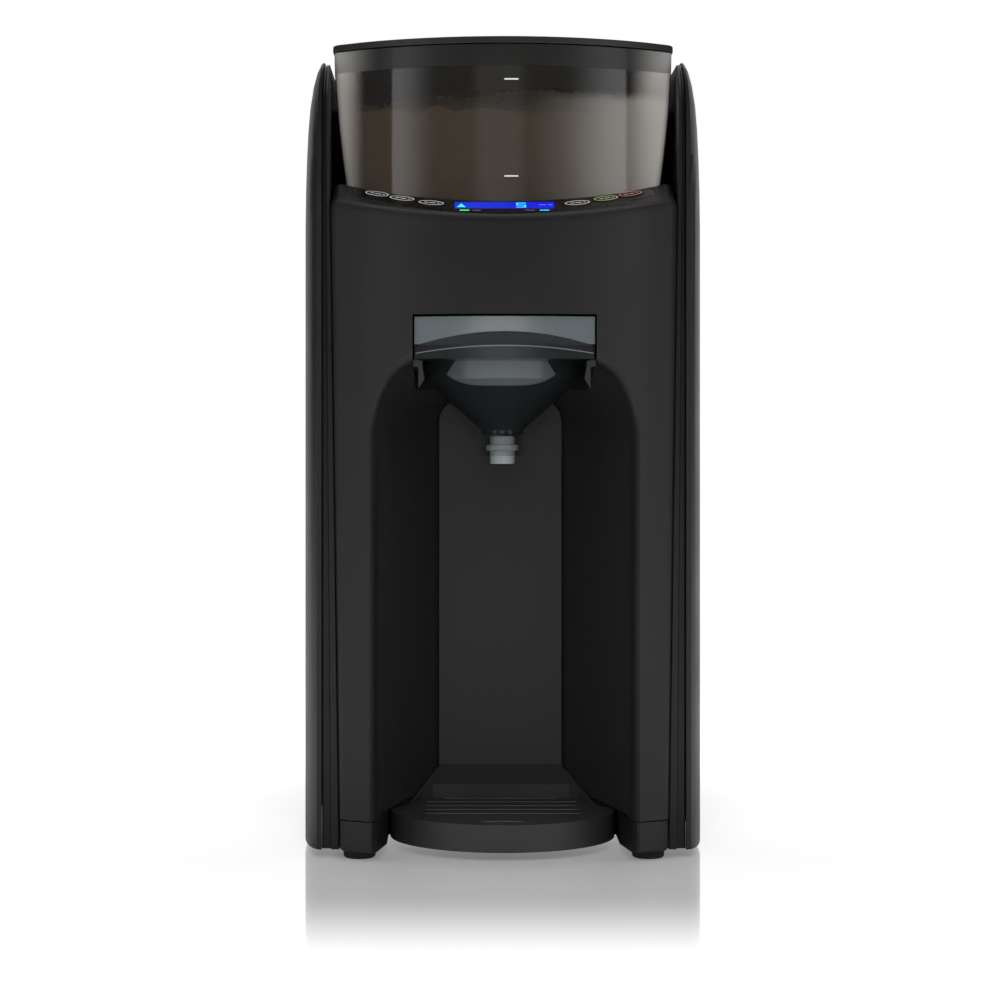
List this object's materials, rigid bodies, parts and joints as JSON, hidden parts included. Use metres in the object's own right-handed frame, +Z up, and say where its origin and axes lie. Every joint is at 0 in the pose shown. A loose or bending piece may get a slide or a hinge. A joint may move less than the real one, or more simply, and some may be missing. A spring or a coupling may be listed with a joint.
{
  "type": "baby formula maker",
  "caption": "Countertop baby formula maker with an arched bottle bay, smoked powder container, pull-out funnel, drip tray and rear water tank.",
  "frame": {"origin": "on the worktop, under the middle of the machine's width and depth", "axes": "+X to the machine's left-hand side as seen by someone behind it, which is the right of the picture; +Y from the front to the back; +Z up"},
  "size_m": [0.178, 0.285, 0.3573],
  "materials": {
    "black_plastic": "fine satin moulded surface",
    "strip_plastic": "satin moulded surface",
    "back_panel_plastic": "fine grained surface",
    "panel_gloss": "high gloss",
    "key_plastic": "satin with a bright printed edge",
    "display_blue": "lit blue display",
    "lamp_green": "lit lens",
    "lamp_cyan": "lit lens",
    "smoked_plastic": "clear smoked, glossy",
    "lid_plastic": "satin",
    "funnel_plastic": "smoked translucent",
    "cover_plastic": "grey translucent",
    "nozzle_silicone": "soft, matt",
    "rail_plastic": "satin",
    "inner_plastic": "moulded, not polished",
    "gear_plastic": "natural acetal",
    "foot_rubber": "matt",
    "seal_silicone": "matt",
    "hose_silicone": "matt",
    "steel": "brushed",
    "board_green": "solder mask"
  },
  "bodies": {
    "housing": {"base_plate": "black_plastic", "front_housing": "black_plastic", "rear_housing": "black_plastic", "bay_back_panel": "back_panel_plastic", "side_cover_left": "black_plastic", "side_cover_right": "black_plastic", "side_strip_left": "strip_plastic", "side_strip_right": "strip_plastic", "mid_frame": "inner_plastic", "gear_cover": "inner_plastic", "drive_motor": "steel", "funnel_rail_left": "rail_plastic", "funnel_rail_right": "rail_plastic", "valve_seat": "inner_plastic", "mains_inlet": "inner_plastic", "water_heater": "steel", "water_pump": "inner_plastic", "inlet_hose": "hose_silicone", "heater_hose": "hose_silicone", "spray_pipe": "hose_silicone", "power_board": "board_green", "control_board": "board_green", "control_panel": "panel_gloss", "display_window": "display_blue", "lamp_left": "lamp_green", "lamp_right": "lamp_cyan", "foot_front_left": "foot_rubber", "foot_front_right": "foot_rubber", "foot_rear_left": "foot_rubber", "foot_rear_right": "foot_rubber"},
    "container": {"powder_container": "smoked_plastic", "dosing_base": "cover_plastic"},
    "lid": {"powder_lid": "lid_plastic", "lid_seal": "seal_silicone"},
    "wheel": {"dosing_wheel": "gear_plastic"},
    "drive": {"drive_gear": "gear_plastic"},
    "pinion": {"pinion": "gear_plastic"},
    "funnel": {"funnel": "funnel_plastic", "funnel_cover": "cover_plastic", "funnel_nozzle": "nozzle_silicone"},
    "tray": {"bottle_tray": "black_plastic"},
    "grille": {"drip_grille": "black_plastic"},
    "tank": {"water_tank": "smoked_plastic", "hinge_pin": "steel"},
    "tank_lid": {"tank_lid": "lid_plastic"},
    "tank_valve": {"tank_valve": "gear_plastic"},
    "key_outer_left": {"key_outer_left": "key_plastic"},
    "key_middle_left": {"key_middle_left": "key_plastic"},
    "key_inner_left": {"key_inner_left": "key_plastic"},
    "key_inner_right": {"key_inner_right": "key_plastic"},
    "key_middle_right": {"key_middle_right": "key_plastic"},
    "key_outer_right": {"key_outer_right": "key_plastic"}
  },
  "joints": [
    {"name": "container_lift", "type": "slide", "parent": "housing", "child": "container", "axis": [0, 0, 1], "range_m": [0, 0.13]},
    {"name": "lid_lift", "type": "slide", "parent": "container", "child": "lid", "axis": [0, 0, 1], "range_m": [0, 0.05]},
    {"name": "drive_spin", "type": "hinge", "parent": "housing", "child": "drive", "pos_m": [0, -0.0385, 0.243], "axis": [0, 0, 1], "continuous": true},
    {"name": "pinion_spin", "type": "hinge", "parent": "housing", "child": "pinion", "pos_m": [0, 0.0031, 0.243], "axis": [0, 0, 1], "continuous": true},
    {"name": "wheel_spin", "type": "hinge", "parent": "container", "child": "wheel", "pos_m": [0, -0.0385, 0.255], "axis": [0, 0, 1], "continuous": true},
    {"name": "funnel_slide", "type": "slide", "parent": "housing", "child": "funnel", "axis": [0, -1, 0], "range_m": [0, 0.11]},
    {"name": "tray_slide", "type": "slide", "parent": "housing", "child": "tray", "axis": [0, -1, 0], "range_m": [0, 0.12]},
    {"name": "grille_lift", "type": "slide", "parent": "tray", "child": "grille", "axis": [0, 0, 1], "range_m": [0, 0.03]},
    {"name": "tank_lift", "type": "slide", "parent": "housing", "child": "tank", "axis": [0, 0, 1], "range_m": [0, 0.23]},
    {"name": "tank_lid_hinge", "type": "hinge", "parent": "tank", "child": "tank_lid", "pos_m": [0, 0.1368, 0.3445], "axis": [-1, 0, 0], "range_deg": [0, 100]},
    {"name": "valve_press", "type": "slide", "parent": "tank", "child": "tank_valve", "axis": [0, 0, 1], "range_m": [0, 0.003], "stiffness_N_per_m": 100, "springref_m": -0.003},
    {"name": "key_outer_left_press", "type": "slide", "parent": "housing", "child": "key_outer_left", "axis": [0, 0.395, -0.9187], "range_m": [0, 0.0007], "stiffness_N_per_m": 500, "springref_m": -0.0006},
    {"name": "key_middle_left_press", "type": "slide", "parent": "housing", "child": "key_middle_left", "axis": [0, 0.395, -0.9187], "range_m": [0, 0.0007], "stiffness_N_per_m": 500, "springref_m": -0.0006},
    {"name": "key_inner_left_press", "type": "slide", "parent": "housing", "child": "key_inner_left", "axis": [0, 0.395, -0.9187], "range_m": [0, 0.0007], "stiffness_N_per_m": 500, "springref_m": -0.0006},
    {"name": "key_inner_right_press", "type": "slide", "parent": "housing", "child": "key_inner_right", "axis": [0, 0.395, -0.9187], "range_m": [0, 0.0007], "stiffness_N_per_m": 500, "springref_m": -0.0006},
    {"name": "key_middle_right_press", "type": "slide", "parent": "housing", "child": "key_middle_right", "axis": [0, 0.395, -0.9187], "range_m": [0, 0.0007], "stiffness_N_per_m": 500, "springref_m": -0.0006},
    {"name": "key_outer_right_press", "type": "slide", "parent": "housing", "child": "key_outer_right", "axis": [0, 0.395, -0.9187], "range_m": [0, 0.0007], "stiffness_N_per_m": 500, "springref_m": -0.0006}
  ],
  "couplings": [
    {"joint": "pinion_spin", "follows": "drive_spin", "ratio": -1.6},
    {"joint": "wheel_spin", "follows": "drive_spin", "ratio": 1}
  ]
}
